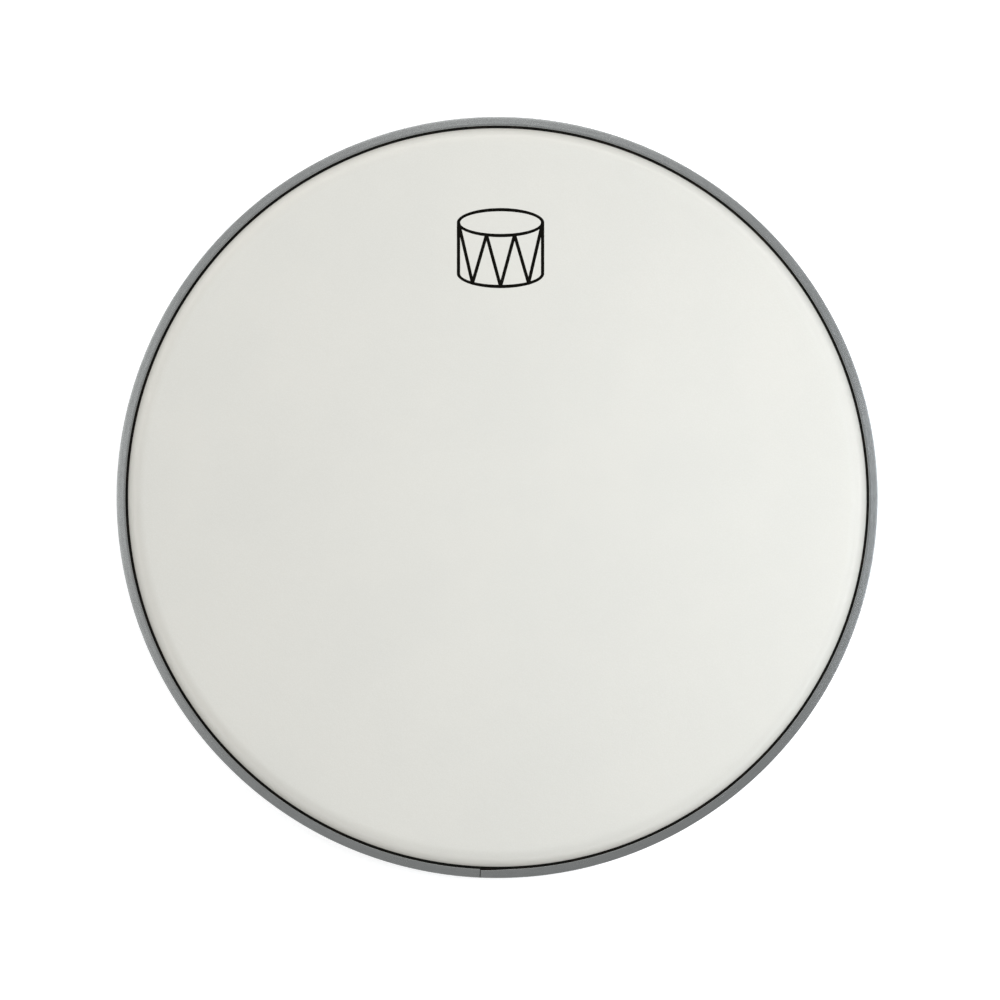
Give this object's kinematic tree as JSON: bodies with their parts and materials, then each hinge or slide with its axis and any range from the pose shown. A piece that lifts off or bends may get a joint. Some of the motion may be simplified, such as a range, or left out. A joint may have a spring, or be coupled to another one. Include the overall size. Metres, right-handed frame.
{
  "type": "drumhead",
  "caption": "Round coated drumhead: a formed white film with a sloping collar, cast in resin in a rolled aluminium channel hoop, with a small printed drum pictogram.",
  "frame": {"origin": "centre of the hoop's underside, on the head's axis", "axes": "+Z along the head's axis, towards the playing side; +Y from the centre towards the printed mark; X to the right as seen from the playing side"},
  "size_m": [0.2112, 0.2112, 0.0155],
  "materials": {
    "satin_aluminium": "satin, rolled, fine lines round the ring",
    "mill_aluminium": "mill",
    "dark_resin": "cured, slightly glossy",
    "clear_film": "clear polyester, smooth, milky where the coat shows through",
    "white_coat": "matt sprayed coat with a fine grain",
    "black_ink": "screen print"
  },
  "bodies": {
    "root": {"hoop_channel": "satin_aluminium", "joint_plate": "mill_aluminium", "resin_bed": "dark_resin", "drum_film": "clear_film", "white_coating": "white_coat", "printed_mark": "black_ink"}
  },
  "joints": []
}
